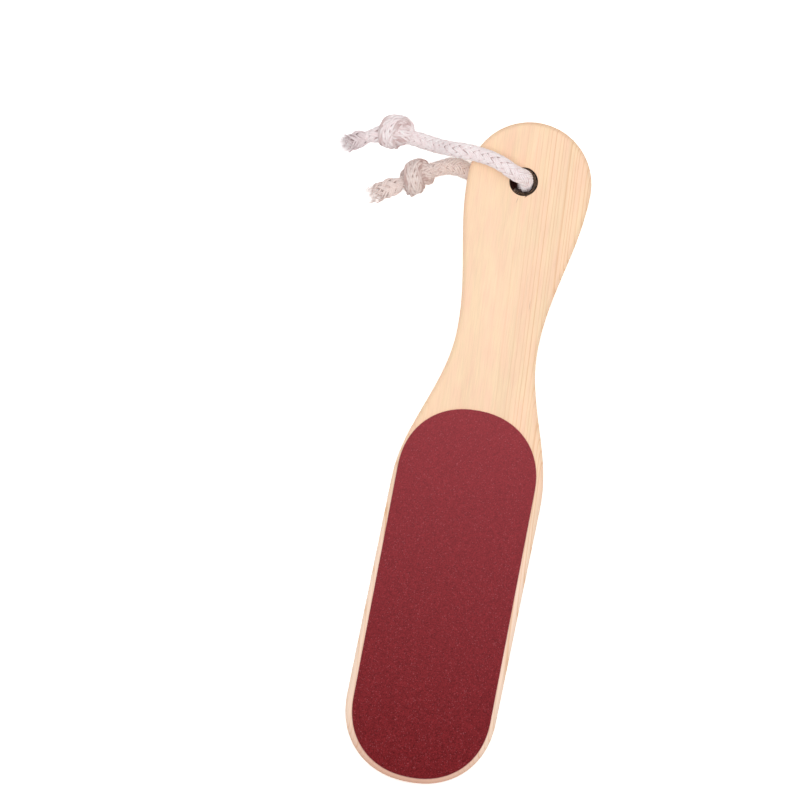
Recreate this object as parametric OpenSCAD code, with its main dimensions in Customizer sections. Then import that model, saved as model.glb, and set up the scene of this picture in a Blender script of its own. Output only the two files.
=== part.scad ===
// Foot file: a flat wooden paddle with a fine abrasive sheet on one face, a coarse one on the
// other, and a knotted cotton cord through the hole in its handle.
// It lies on a table, fine side up. The blade's end touches the table and the handle rests on
// the cord. The blade points to -Y, the handle to +Y. Lengths are in millimetres.

/* [Paddle] */
// Length of the paddle from the tip of the handle to the end of the blade
paddle_length = 260; // [230:1:300]
// Thickness of the wood
paddle_thick = 11; // [9:0.5:16]
// Width of the blade
blade_width = 58.8; // [54:0.2:70]
// Width of the handle's round end
handle_width = 48; // [42:0.5:54]
// Width of the neck, the narrowest place
neck_width = 32.2; // [26:0.2:40]
// Distance from the handle's tip to the neck
neck_from_tip = 85; // [70:1:95]
// Distance from the handle's tip to where the blade has its full width
blade_from_tip = 146; // [130:1:160]
// How square the blade's end is: 2 gives a half circle, more a fuller end
end_squareness = 2.17; // [2:0.01:2.5]
// Radius that eases the long edges of the wood
edge_round = 2; // [1:0.25:4]

/* [Hanging hole] */
// Diameter of the hole in the handle
hole_d = 10.4; // [10.4:0.2:13]
// Distance from the handle's tip to the middle of the hole
hole_from_tip = 23.5; // [22:0.5:25]
// How far the hole lies to the left of the middle line
hole_left = 2.4; // [0:0.2:3]
// Width of the eased rim of the hole
hole_ease = 0.6; // [0.2:0.1:1]

/* [Abrasive sheets] */
// Length of an abrasive sheet
sheet_length = 144.5; // [110:0.5:146]
// Bare wood between a sheet and the edge of the blade
sheet_margin = 2.4; // [2.4:0.1:6]
// How far the fine sheet was glued askew, in degrees, its far end to the left
fine_sheet_turn = 0.8; // [-1.5:0.1:1.5]
// How far the fine sheet was glued to the left
fine_sheet_left = 0.4; // [0:0.1:0.6]
// How far the fine sheet was glued towards the blade's end
fine_sheet_down = 0.4; // [0:0.1:0.6]
// Thickness of the glue under a sheet
glue_thick = 0.15; // [0.1:0.05:0.4]
// Thickness of a sheet's paper backing
paper_thick = 0.35; // [0.2:0.05:0.8]
// Thickness of the bonded fine grit
fine_grit_thick = 0.3; // [0.2:0.05:0.6]
// Thickness of the bonded coarse grit
coarse_grit_thick = 0.5; // [0.3:0.05:1]

/* [Cord] */
// Diameter of the braided cord
cord_d = 6; // [4:0.25:6]
// Diameter of the overhand knot at each end
knot_d = 13.2; // [10:0.2:13.2]
// Widest diameter of the frayed ends
fray_d = 8.2; // [6.5:0.1:8.2]

/* [Lying on a table] */
// Height of the handle's underside over the table at the hole, where the cord lies under it
handle_lift = 6.8; // [6.8:0.1:9]

/* [Hidden] */
$fn = 96;

// Steps of the round ends, the flowing sides and the eased edges
end_steps = 16;
side_steps = 10;
edge_steps = 4;
cord_sides = 10;
knot_steps = 12;
// Overrun of the cuts through the wood
overrun = 1;

// The paddle's own frame has its middle at half its length and half its thickness
half_length = paddle_length / 2;
half_thick = paddle_thick / 2;
handle_r = handle_width / 2;
blade_r = blade_width / 2;
neck_r = neck_width / 2;
handle_end_y = half_length - handle_r;
blade_end_y = blade_r - half_length;
neck_y = half_length - neck_from_tip;
blade_y = half_length - blade_from_tip;
hole_y = half_length - hole_from_tip;

// The sheets' ends follow the blade's end
sheet_r = blade_r - sheet_margin;
sheet_tip_y = blade_end_y - sheet_r;
sheet_middle_y = sheet_tip_y + sheet_length / 2;
fine_glue_z = half_thick;
fine_paper_z = fine_glue_z + glue_thick;
fine_grit_z = fine_paper_z + paper_thick;
coarse_glue_z = -half_thick - glue_thick;
coarse_paper_z = coarse_glue_z - paper_thick;
coarse_grit_z = coarse_paper_z - coarse_grit_thick;

// The handle is raised until its underside has the cord's room, and the blade's sheet then
// touches the table at its tip
coarse_stack = half_thick + glue_thick + paper_thick + coarse_grit_thick;
lie_angle = asin((handle_lift + half_thick - coarse_stack) / (hole_y - sheet_tip_y));
lie_height = coarse_stack * cos(lie_angle) - sheet_tip_y * sin(lie_angle);

// The cord's route, from its frayed end under the handle, up through the hole and back over the
// handle to its other frayed end
cord_route = [
    [-61.0, 88.6, 4.3], [-58.2, 90.3, 4.4], [-55.0, 92.4, 4.7], [-51.4, 94.8, 5.6],
    [-48.4, 96.9, 6.7], [-39.0, 103.2, 6.7], [-36.8, 104.5, 5.9], [-34.2, 105.7, 4.6],
    [-31.1, 106.5, 3.5], [-27.7, 106.7, 3.1], [-24.3, 106.2, 3.1], [-20.6, 105.5, 3.1],
    [-16.0, 105.0, 3.1], [-11.2, 105.0, 3.1], [-7.6, 105.4, 3.5], [-4.3, 105.8, 5.4],
    [-1.9, 106.1, 8.9], [-1.2, 106.2, 13.1], [-2.0, 106.6, 17.3], [-4.2, 107.6, 21.0],
    [-7.5, 109.1, 23.4], [-11.4, 110.8, 24.3], [-15.3, 112.0, 24.0], [-19.2, 112.7, 23.1],
    [-23.0, 113.1, 22.2], [-26.6, 113.2, 21.3], [-29.9, 113.2, 20.1], [-32.6, 113.2, 18.0],
    [-34.6, 113.3, 15.2], [-36.7, 113.4, 12.5], [-39.3, 113.7, 10.2], [-42.4, 114.1, 8.3],
    [-45.7, 114.5, 7.1], [-49.0, 114.8, 6.7], [-61.6, 113.2, 6.7], [-65.0, 111.6, 5.8],
    [-68.4, 109.9, 4.9], [-71.6, 108.4, 4.4], [-74.4, 107.2, 4.3]];
// Places on the route: the knots' ends and the middle of the hole
back_knot_out = 4;
back_knot_in = 5;
hole_place = 17;
front_knot_in = 33;
front_knot_out = 34;
route_end = len(cord_route) - 1;
// A frayed end opens out from the cord to its widest and closes a little at its tip
fray_shares = [0, 0.3, 0.8, 1, 0.5];

// One side of the outline: each row is a point and the direction that faces out from it
function ramp(from_r, to_r, share) = (from_r + to_r) / 2 + (from_r - to_r) / 2 * cos(180 * share);
function ramp_slope(from_r, to_r, from_y, to_y, share) =
    -(from_r - to_r) / 2 * sin(180 * share) * PI / (to_y - from_y);
function powered(value, power) = sign(value) * pow(abs(value), power);
function round_side(radius, middle_y, from_a, to_a, squareness = 2, steps = end_steps) =
    [for (i = [0 : steps])
        let (a = from_a + (to_a - from_a) * i / steps)
        [[radius * powered(cos(a), 2 / squareness),
            middle_y + radius * powered(sin(a), 2 / squareness)],
            unit([powered(cos(a), 2 - 2 / squareness), powered(sin(a), 2 - 2 / squareness)])]];
function flowing_side(from_r, to_r, from_y, to_y, last) = [for (i = [1 : last])
    let (share = i / side_steps)
    let (slope = ramp_slope(from_r, to_r, from_y, to_y, share))
    [[ramp(from_r, to_r, share), from_y + (to_y - from_y) * share],
        [1, -slope] / norm([1, slope])]];
right_side = concat(
    round_side(handle_r, handle_end_y, 90, 0),
    flowing_side(handle_r, neck_r, handle_end_y, neck_y, side_steps),
    flowing_side(neck_r, blade_r, neck_y, blade_y, side_steps),
    round_side(blade_r, blade_end_y, 0, -90, end_squareness));
side_last = len(right_side) - 1;
outline = concat(right_side, [for (i = [side_last - 1 : -1 : 1])
    [[-right_side[i][0][0], right_side[i][0][1]], [-right_side[i][1][0], right_side[i][1][1]]]]);

// Rings of the wood from its underside to its top, each as an inset and a height
lower_rings = [for (i = [0 : edge_steps]) let (a = 90 * i / edge_steps)
    [edge_round * (1 - sin(a)), edge_round * (1 - cos(a)) - half_thick]];
wood_rings = concat(lower_rings, [for (i = [edge_steps : -1 : 0])
    [lower_rings[i][0], -lower_rings[i][1]]]);

// Faces of a stack of rings, which are counted from the first ring to the last, each
// counter-clockwise when it is seen from the last one
function ring_walls(rings, sides) = [for (j = [0 : rings - 2], i = [0 : sides - 1], half = [0, 1])
    let (near = j * sides + i, next = j * sides + (i + 1) % sides)
    half == 0 ? [near, near + sides, next] : [next, near + sides, next + sides]];
function ring_caps(rings, sides) = [
    [for (i = [0 : sides - 1]) i],
    [for (i = [sides - 1 : -1 : 0]) (rings - 1) * sides + i]];

function unit(v) = v / norm(v);
// The route's direction at a place: along the knot at a knot's end, else from the place before
// to the place after
function heading(i) =
    i == back_knot_out || i == back_knot_in
        ? unit(cord_route[back_knot_in] - cord_route[back_knot_out])
    : i == front_knot_in || i == front_knot_out
        ? unit(cord_route[front_knot_out] - cord_route[front_knot_in])
    : unit(cord_route[min(i + 1, route_end)] - cord_route[max(i - 1, 0)]);
// A ring of the cord at a place, square to the route
function cord_ring(i, radius) =
    let (along = heading(i))
    let (side = unit(cross(along, [0, 1, 0])))
    let (rise = cross(along, side))
    [for (k = [0 : cord_sides - 1]) let (a = 360 * k / cord_sides)
        cord_route[i] + radius * (cos(a) * side + sin(a) * rise)];

module laid() {
    translate([0, 0, lie_height]) rotate([lie_angle, 0, 0]) children();
}

// A tube along the route, from one place to another, with a radius for each place
module cord_tube(first, last, radii) {
    rings = last - first + 1;
    points = [for (i = [first : last]) each cord_ring(i, radii[i - first])];
    polyhedron(points, concat(ring_walls(rings, cord_sides), ring_caps(rings, cord_sides)));
}

// A knot is a plump body of revolution between two places on the route, as thick at its ends as
// the cord that enters it
module knot(first, last) {
    along = cord_route[last] - cord_route[first];
    length = norm(along);
    flare = knot_d / 2 - cord_d / 2;
    profile = concat([[0, 0]], [for (i = [0 : knot_steps])
        [cord_d / 2 + flare * sqrt(sin(180 * i / knot_steps)), length * i / knot_steps]],
        [[0, length]]);
    translate(cord_route[first])
        rotate([0, acos(along[2] / length), atan2(along[1], along[0])])
            rotate_extrude() polygon(profile);
}

// One layer of an abrasive sheet, a long shape with two full round ends, turned about its middle
module sheet_layer(bottom_z, thick, turn = 0, left = 0, down = 0) {
    reach = sheet_length / 2 - sheet_r;
    far_end = [for (row = round_side(sheet_r, reach, 0, 180, end_squareness, 2 * end_steps))
        row[0]];
    laid() translate([-left, sheet_middle_y - down, bottom_z]) rotate([0, 0, turn])
        linear_extrude(thick) polygon(concat(far_end, [for (point = far_end) -point]));
}

module fine_layer(bottom_z, thick) {
    sheet_layer(bottom_z, thick, fine_sheet_turn, fine_sheet_left, fine_sheet_down);
}

module hanging_hole() {
    hole_r = hole_d / 2;
    wide_r = hole_r + hole_ease + overrun;
    deep_z = half_thick + overrun;
    rim_z = half_thick - hole_ease;
    rotate_extrude() polygon([[0, -deep_z], [wide_r, -deep_z], [hole_r, -rim_z],
        [hole_r, rim_z], [wide_r, deep_z], [0, deep_z]]);
}

// The flat faces of the wood are strips from one side of the outline to the other
function wood_strips(base) = let (sides = len(outline)) [for (i = [0 : side_last - 1])
    i == 0 ? [base, base + 1, base + sides - 1]
    : i == side_last - 1 ? [base + i, base + i + 1, base + sides - i]
    : [base + i, base + i + 1, base + sides - i - 1, base + sides - i]];
function turned(faces) = [for (face = faces) [for (i = [len(face) - 1 : -1 : 0]) face[i]]];

module wooden_paddle() {
    sides = len(outline);
    rings = len(wood_rings);
    points = [for (ring = wood_rings, row = outline)
        [row[0][0] - row[1][0] * ring[0], row[0][1] - row[1][1] * ring[0], ring[1]]];
    // The outline runs clockwise when it is seen from above
    faces = concat(turned(ring_walls(rings, sides)), turned(wood_strips(0)),
        wood_strips((rings - 1) * sides));
    color([0.98, 0.85, 0.72]) laid() difference() {
        polyhedron(points, faces);
        translate([-hole_left, hole_y, 0]) hanging_hole();
    }
}

module fine_glue() {
    color([0.85, 0.75, 0.55]) fine_layer(fine_glue_z, glue_thick);
}

module fine_paper() {
    color([0.62, 0.34, 0.3]) fine_layer(fine_paper_z, paper_thick);
}

module fine_grit() {
    color([0.53, 0.2, 0.22]) fine_layer(fine_grit_z, fine_grit_thick);
}

module coarse_glue() {
    color([0.85, 0.75, 0.55]) sheet_layer(coarse_glue_z, glue_thick);
}

module coarse_paper() {
    color([0.3, 0.28, 0.28]) sheet_layer(coarse_paper_z, paper_thick);
}

module coarse_grit() {
    color([0.13, 0.12, 0.14]) sheet_layer(coarse_grit_z, coarse_grit_thick);
}

module cord_front() {
    color([0.91, 0.84, 0.83]) cord_tube(hole_place, front_knot_in,
        [for (i = [hole_place : front_knot_in]) cord_d / 2]);
}

module cord_back() {
    color([0.86, 0.79, 0.77]) cord_tube(back_knot_in, hole_place,
        [for (i = [back_knot_in : hole_place]) cord_d / 2]);
}

module knot_front() {
    color([0.9, 0.83, 0.82]) knot(front_knot_in, front_knot_out);
}

module knot_back() {
    color([0.87, 0.8, 0.78]) knot(back_knot_in, back_knot_out);
}

module frayed_end_front() {
    color([0.93, 0.88, 0.86]) cord_tube(front_knot_out, route_end,
        [for (share = fray_shares) cord_d / 2 + (fray_d / 2 - cord_d / 2) * share]);
}

module frayed_end_back() {
    last = len(fray_shares) - 1;
    color([0.9, 0.85, 0.82]) cord_tube(0, back_knot_out,
        [for (i = [last : -1 : 0]) cord_d / 2 + (fray_d / 2 - cord_d / 2) * fray_shares[i]]);
}

wooden_paddle();
fine_glue();
fine_paper();
fine_grit();
coarse_glue();
coarse_paper();
coarse_grit();
cord_front();
cord_back();
knot_front();
knot_back();
frayed_end_front();
frayed_end_back();
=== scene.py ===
# %% [markdown]
# # A wooden foot file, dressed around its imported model
# The real thing is a flat paddle of bare pine. A fine red abrasive sheet is glued on one face and
# a coarse black one on the other, and a braided cotton cord is knotted through the handle.
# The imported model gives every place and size. This notebook builds the surfaces that the eye
# sees, each as a formula on a grid of points, and gives each its own procedural material.

# %% Load the frame
import math

import bmesh
import bpy
import numpy as np
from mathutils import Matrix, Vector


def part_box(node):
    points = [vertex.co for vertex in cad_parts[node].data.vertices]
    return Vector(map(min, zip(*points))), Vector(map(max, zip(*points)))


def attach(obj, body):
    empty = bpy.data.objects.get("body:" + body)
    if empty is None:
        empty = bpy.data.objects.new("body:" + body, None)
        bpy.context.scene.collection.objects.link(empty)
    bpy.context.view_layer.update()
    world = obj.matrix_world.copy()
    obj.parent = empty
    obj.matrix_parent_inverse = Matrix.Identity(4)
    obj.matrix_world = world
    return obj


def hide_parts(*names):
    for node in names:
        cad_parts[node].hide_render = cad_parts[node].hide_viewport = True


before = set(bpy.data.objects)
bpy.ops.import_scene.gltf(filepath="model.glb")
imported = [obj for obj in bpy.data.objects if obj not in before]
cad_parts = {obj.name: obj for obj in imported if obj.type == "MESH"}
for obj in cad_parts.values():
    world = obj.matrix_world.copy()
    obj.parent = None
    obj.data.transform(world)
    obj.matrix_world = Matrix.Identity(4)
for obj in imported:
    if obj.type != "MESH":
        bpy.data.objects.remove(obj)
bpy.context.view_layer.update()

MM = 0.001  # every length below is written in millimetres and turned to metres with this
print("frame", sorted(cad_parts))

# %% [markdown]
# ## The camera
# The photograph looks straight down at the file, whose middle line leans to the right. A camera
# could be turned or the object could be. The object stays where the model puts it, so the camera
# turns about the vertical instead. A long lens from far above keeps the outline undistorted.

# %% Set up the camera
PHOTO_LEAN = math.radians(11.62)
PHOTO_WIDTH = 309.05 * MM  # what 800 pixels span at the height of the wood's face
CAMERA_RISE = 2.5          # metres above the face
FACE_HEIGHT = 15.5 * MM
PHOTO_CENTRE = (-32.2 * MM, 14.2 * MM)

lens_data = bpy.data.cameras.new("camera")
lens_data.sensor_width = 36
lens_data.lens = lens_data.sensor_width * CAMERA_RISE / PHOTO_WIDTH
lens_data.clip_start, lens_data.clip_end = 0.01, 20
camera = bpy.data.objects.new("camera", lens_data)
camera.location = (*PHOTO_CENTRE, CAMERA_RISE + FACE_HEIGHT)
camera.rotation_euler = (0, 0, PHOTO_LEAN)
scene = bpy.context.scene
scene.collection.objects.link(camera)
scene.camera = camera
scene.view_settings.view_transform = "Standard"
print("lens in mm", round(lens_data.lens, 1))

# %% [markdown]
# ## Helpers for grids of points
# Every new piece is an array of points and an array of four-cornered faces. A grid's faces follow
# from its number of rows and columns, so one helper makes them all. A second one puts the arrays
# into a mesh, closes its seams and poles, and turns its faces outwards.

# %% Grid faces and meshes
def grid_faces(rows, columns, closed=False):
    """Faces of a grid whose points are counted row by row. Face (i, j) joins points (i, j),
    (i, j + 1), (i + 1, j + 1) and (i + 1, j). A closed grid joins its last column to its first."""
    i, j = np.meshgrid(np.arange(rows - 1), np.arange(columns - (not closed)), indexing="ij")
    k = (j + 1) % columns
    corners = [i * columns + j, i * columns + k, (i + 1) * columns + k, (i + 1) * columns + j]
    return np.stack(corners, -1).reshape(-1, 4)


def joined(parts):
    """Several (points, faces) pairs as one pair, each part's faces counted on from the last."""
    starts = np.cumsum([0] + [len(points) for points, _ in parts[:-1]])
    return (np.concatenate([points for points, _ in parts]),
            np.concatenate([faces + start for (_, faces), start in zip(parts, starts)]))


def make_piece(name, points, faces, smooth=True, fields=None, weld=0.002 * MM):
    """Puts points in metres and faces into a new object at the origin. fields are arrays of one
    vector a point, kept as attributes for a material to read."""
    mesh = bpy.data.meshes.new(name)
    mesh.from_pydata(points.tolist(), [], faces.tolist())
    for field, values in (fields or {}).items():
        layer = mesh.attributes.new(field, "FLOAT_VECTOR", "POINT")
        layer.data.foreach_set("vector", values.astype(np.float32).ravel())
    work = bmesh.new()
    work.from_mesh(mesh)
    bmesh.ops.remove_doubles(work, verts=work.verts, dist=weld)
    bmesh.ops.recalc_face_normals(work, faces=work.faces)
    work.to_mesh(mesh)
    work.free()
    mesh.polygons.foreach_set("use_smooth", [smooth] * len(mesh.polygons))
    piece = bpy.data.objects.new(name, mesh)
    scene.collection.objects.link(piece)
    print(name, len(mesh.vertices), "points,", len(mesh.polygons), "faces")
    return piece


# %% [markdown]
# ## The cord's middle line
# A limp braided cord comes up through the handle, arches over it and ends in an overhand knot and
# a frayed tail. Its other end runs out under the handle to a second knot. The line repeats the
# route's points from the part's source. A Catmull-Rom curve is chosen because it passes through
# every point and stays smooth between them.

# %% Route of the cord
CORD_ROUTE = np.array([
    (-61.0, 88.6, 4.3), (-58.2, 90.3, 4.4), (-55.0, 92.4, 4.7), (-51.4, 94.8, 5.6),
    (-48.4, 96.9, 6.7), (-39.0, 103.2, 6.7), (-36.8, 104.5, 5.9), (-34.2, 105.7, 4.6),
    (-31.1, 106.5, 3.5), (-27.7, 106.7, 3.1), (-24.3, 106.2, 3.1), (-20.6, 105.5, 3.1),
    (-16.0, 105.0, 3.1), (-11.2, 105.0, 3.1), (-7.6, 105.4, 3.5), (-4.3, 105.8, 5.4),
    (-1.9, 106.1, 8.9), (-1.2, 106.2, 13.1), (-2.0, 106.6, 17.3), (-4.2, 107.6, 21.0),
    (-7.5, 109.1, 23.4), (-11.4, 110.8, 24.3), (-15.3, 112.0, 24.0), (-19.2, 112.7, 23.1),
    (-23.0, 113.1, 22.2), (-26.6, 113.2, 21.3), (-29.9, 113.2, 20.1), (-32.6, 113.2, 18.0),
    (-34.6, 113.3, 15.2), (-36.7, 113.4, 12.5), (-39.3, 113.7, 10.2), (-42.4, 114.1, 8.3),
    (-45.7, 114.5, 7.1), (-49.0, 114.8, 6.7), (-61.6, 113.2, 6.7), (-65.0, 111.6, 5.8),
    (-68.4, 109.9, 4.9), (-71.6, 108.4, 4.4), (-74.4, 107.2, 4.3)])
BACK_KNOT_OUT, BACK_KNOT_IN, HOLE_PLACE, FRONT_KNOT_IN, FRONT_KNOT_OUT = 4, 5, 17, 33, 34
LINE_STEP = 0.25
CURVE_STEPS = 24     # between two points of the route


def lengths_along(line):
    """How far each point lies from the first, measured along the line."""
    return np.concatenate([[0], np.cumsum(np.linalg.norm(np.diff(line, axis=0), axis=1))])


def smooth_line(points, step=LINE_STEP):
    """Catmull-Rom curve at even steps: between two points each coordinate is a cubic of the share
    of the way, whose slope at a point is half the way between that point's two neighbours."""
    padded = np.concatenate([[2 * points[0] - points[1]], points, [2 * points[-1] - points[-2]]])
    before, here, there, after = padded[:-3], padded[1:-2], padded[2:-1], padded[3:]
    t = np.linspace(0, 1, CURVE_STEPS, endpoint=False)[:, None, None]
    curve = 0.5 * (2 * here + (there - before) * t
                   + (2 * before - 5 * here + 4 * there - after) * t ** 2
                   + (3 * here - before - 3 * there + after) * t ** 3)
    curve = np.concatenate([curve.transpose(1, 0, 2).reshape(-1, 3), points[-1:]])
    along = lengths_along(curve)
    places = np.linspace(0, along[-1], round(along[-1] / step) + 1)
    return np.stack([np.interp(places, along, curve[:, k]) for k in range(3)], 1)


print("route of", len(CORD_ROUTE), "points")

# %% [markdown]
# ## The line inside a knot
# In an overhand knot the cord runs in along the knot, turns back, winds once round itself and
# leaves through its own turn. A rope simulation could pull such a knot tight, but it is slow and
# hard to steer. Here the line is written in polar form about the knot's axis: a distance along
# it, a radius and an angle for a handful of places.

# %% Overhand knot line
KNOT_TIGHT = 0.95    # how far the stations are drawn in
KNOT_TURN = -30      # where round the axis the first station's angle starts, in degrees
KNOT_STATIONS = np.array([  # share along half the knot, radius in mm, angle in degrees
    (-1.0, 0.0, 0), (-0.72, 0.6, 0), (-0.3, 1.5, 30), (0.1, 1.7, 90), (0.4, 2.4, 150),
    (0.54, 3.5, 185), (0.5, 4.2, 225), (0.38, 4.4, 270), (0.22, 4.4, 315), (0.07, 4.4, 360),
    (-0.07, 4.4, 405), (-0.22, 4.4, 450), (-0.38, 4.4, 495), (-0.5, 4.2, 535),
    (-0.54, 3.4, 575), (-0.4, 2.3, 612), (-0.06, 1.7, 660), (0.34, 1.4, 700), (0.74, 0.6, 720),
    (1.0, 0.0, 720)])


def eased(value):
    """0 below 0 and 1 above 1, with a smooth rise between them."""
    value = np.clip(value, 0, 1)
    return value * value * (3 - 2 * value)


def knot_line(start, end, tilt, shift):
    """Points of a knot from start to end. A point lies its share along the axis, and its radius
    away from it at its angle, counted from straight up. Towards the knot's middle the axis is
    tipped by tilt, in degrees, and everything moves by shift."""
    middle, half = (start + end) / 2, (end - start) / 2
    axis = half / np.linalg.norm(half)
    side = np.cross(axis, (0, 0, 1))
    side /= np.linalg.norm(side)
    rise = np.cross(side, axis)
    share, radius, angle = (column[:, None] for column in KNOT_STATIONS.T)
    radius = KNOT_TIGHT * radius
    inside = eased((1 - np.abs(share)) / 0.5)
    tip = math.radians(tilt) * inside
    along = np.cos(tip) * half - np.sin(tip) * np.linalg.norm(half) * rise
    up = np.cos(tip) * rise + np.sin(tip) * axis
    angle = np.radians(KNOT_TURN + angle)
    return (middle + share * along + radius * (np.cos(angle) * up + np.sin(angle) * side)
            + inside * np.array(shift))


back_ends = CORD_ROUTE[BACK_KNOT_OUT], CORD_ROUTE[BACK_KNOT_IN]
front_ends = CORD_ROUTE[FRONT_KNOT_IN], CORD_ROUTE[FRONT_KNOT_OUT]
back_knot = knot_line(*back_ends, tilt=-12, shift=(0, 0, 0))
front_knot = knot_line(*front_ends, tilt=38, shift=(0, 1.6, 0.4))
print("knots of", len(back_knot), "and", len(front_knot), "stations")

# %% [markdown]
# ## The whole cord as one line
# The real cord is one braid from tail to tail, so its line is one too, through both tails, both
# knots and the hole. Separate lines would be easier to place, but their yarns wouldn't meet.
# Slack lets the cord drop and lean a little, which is added afterwards as soft bumps.

# %% Whole line and its slack
def whole_line(stretches):
    """One smooth line through several stretches, and where each begins and ends on it."""
    line = smooth_line(np.concatenate(stretches))
    joints = [stretch[0] for stretch in stretches[1:]]
    cuts = [int(np.linalg.norm(line - joint, axis=1).argmin()) for joint in joints]
    return line, [0, *cuts, len(line) - 1]


def hump(way, middle, reach):
    """A soft bump: 1 at the middle, falling off with the square of the way from it."""
    return np.exp(-((way - middle) / reach) ** 2)


cord_line, cuts = whole_line([
    CORD_ROUTE[:BACK_KNOT_OUT], back_knot, CORD_ROUTE[BACK_KNOT_IN + 1:HOLE_PLACE],
    CORD_ROUTE[HOLE_PLACE:FRONT_KNOT_IN], front_knot, CORD_ROUTE[FRONT_KNOT_OUT + 1:]])
back_out, back_in, at_hole, front_in, front_out, cord_end = cuts[1:]
cord_along = lengths_along(cord_line)
hole_way = cord_along - cord_along[at_hole]  # millimetres from the hole, towards the front

# each is an offset, and the middle and reach of its bump on the way from the hole: the cord
# drops to the hole's near rim, leans on the far one as it bends over, bulges out under the
# handle's edge, and is lifted clear of that edge where it is draped over it
LEANS = (((-0.5, -1.2, 0.0), 1.0, 3.2), ((0.7, 0.8, 0.0), 6.5, 4.0),
         ((0.0, 0.6, 0.0), -34.0, 4.5), ((0.0, 0.0, 0.45), 34.5, 3.5))
for lean, middle, reach in LEANS:
    cord_line = cord_line + np.array(lean) * hump(hole_way, middle, reach)[:, None]
print("cord in mm", round(cord_along[-1], 1), "cut at", [round(cord_along[c], 1) for c in cuts])

# %% [markdown]
# ## A frame that travels with the cord
# Yarns wind round the line, so each of its points needs two directions square to it that never
# jump. A fixed up direction fails where the line turns upwards. The frame is therefore carried
# from point to point and only straightened each time, which keeps it free of twist.

# %% Carried frame
def carried_frame(line):
    """Directions along, beside and above the line. Beside is the last one with its part along
    the line taken off, and above is square to both."""
    along = np.gradient(line, axis=0)
    along /= np.linalg.norm(along, axis=1, keepdims=True)
    beside = np.empty_like(line)
    last = np.cross(along[0], (0.0, 0.0, 1.0))
    for i, direction in enumerate(along):
        last = last - (last @ direction) * direction
        last /= np.linalg.norm(last)
        beside[i] = last
    return along, beside, np.cross(along, beside)


cord_dir, cord_beside, cord_above = carried_frame(cord_line)
print("frame carried over", len(cord_line), "points")

# %% [markdown]
# ## Where a knot presses and where shade is painted
# A pulled knot presses its strands flat against each other, and hardly any light gets into the
# handle's hole, so the cord there gets painted shade. Both could be sculpted and painted by hand.
# Here each is a number from 0 to 1 along the cord, which the shapes and the material can both
# follow.

# %% Squeeze and hole
SQUEEZE_THICK, SQUEEZE_WIDE = 0.7, 1.32  # what a knot leaves of the cord's thickness and width
HOLD_EASE = 0.45  # share of half the knot over which its hold grows


def knot_squeeze(line, start, end):
    """How tight the knot holds each point, 0 to 1, and the direction away from its axis."""
    middle, half = (start + end) / 2, (end - start) / 2
    reach = np.linalg.norm(half)
    away = line - middle
    share = away @ half / reach ** 2
    out = away - share[:, None] * half
    near = (np.abs(share) < 1) & (np.linalg.norm(out, axis=1) < 2 * reach)
    hold = np.where(near, eased((1 - np.abs(share)) / HOLD_EASE), 0)
    out = out - (out * cord_dir).sum(1)[:, None] * cord_dir
    return hold, out / np.maximum(np.linalg.norm(out, axis=1), 1e-6)[:, None]


def squeezed(points, pick):
    """Points round the line, flattened towards and widened along the knot's own surface."""
    hold, out = cord_hold[pick][:, None], cord_out[pick]
    wide = np.cross(cord_dir[pick], out)
    offset = points - cord_line[pick]
    flat = (offset * out).sum(-1, keepdims=True) * out * (SQUEEZE_THICK - 1)
    broad = (offset * wide).sum(-1, keepdims=True) * wide * (SQUEEZE_WIDE - 1)
    return points + hold * (flat + broad)


hold_back, out_back = knot_squeeze(cord_line, *back_ends)
hold_front, out_front = knot_squeeze(cord_line, *front_ends)
hold_back[:back_out] = hold_back[back_in:] = 0
hold_front[:front_in] = hold_front[front_out:] = 0
cord_hold = hold_back + hold_front
cord_out = np.where((hold_back > 0)[:, None], out_back, out_front)

# painted shade: the part of the cord that lies in the handle's hole, and the part under the hole,
# of which only the upper side is painted that dark
cord_hole_shade = 0.9 * eased((5.5 + hole_way) / 2.5) * eased((3.2 - hole_way) / 2.5)
cord_below_shade = eased((17 + hole_way) / 3) * (hole_way < 0)
print("points held by knots", int((cord_hold > 0).sum()), "and in the hole",
      int((cord_hole_shade > 0).sum()))

# %% [markdown]
# ## The braid
# The cord is a tubular braid: six thick yarns wind one way and six the other, and each passes over
# two and under two of the others, which draws the V pattern along the cord. A bumpy tube would
# do from far away. Real yarns are modelled here, because their crossings cast the small shadows
# that make a braid look like one.

# %% Rhythm of the braid
YARNS = 6            # each way
BRAID_TURN = 0.28    # radians a millimetre: one V every 3.7 mm
KNOT_STRETCH = 0.55  # how much straighter the yarns run where the knot pulls the cord
KNOT_SMOOTH, BEND_SMOOTH = 0.75, 0.5     # how much flatter knots and the bend press the crossings
BEND_MIDDLE, BEND_REACH = 9, 8           # the bend over the hole's rim
SWELLS = ((8, 5, 0.2), (-34, 4.5, 0.4))  # where bends open the braid: middle, reach, by how much
PLY_SPREAD = 0.42    # how much wider the plies lie in a knot
WAVE_EDGE = 2.2      # how suddenly a yarn changes from over to under

cord_swell = sum(size * hump(hole_way, middle, reach) for middle, reach, size in SWELLS)
cord_press = np.maximum(KNOT_SMOOTH * cord_hold,
                        BEND_SMOOTH * hump(hole_way, BEND_MIDDLE, BEND_REACH))
ply_spread = 1 + PLY_SPREAD * (cord_hold + cord_swell)
turn_rate = BRAID_TURN * (1 - KNOT_STRETCH * cord_hold)
cord_turn = np.concatenate([[0], np.cumsum(turn_rate[1:] * np.diff(cord_along))])


def crossing_wave(place):
    """1 while a yarn passes over two others and -1 while it passes under two, with a smooth
    change between. place counts the crossings, and the wave repeats every four."""
    return np.tanh(WAVE_EDGE * np.cos(np.pi / 2 * (place - 0.5))) / np.tanh(WAVE_EDGE)


print("each yarn goes round", round(cord_turn[-1] / (2 * np.pi), 1), "times")

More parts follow.
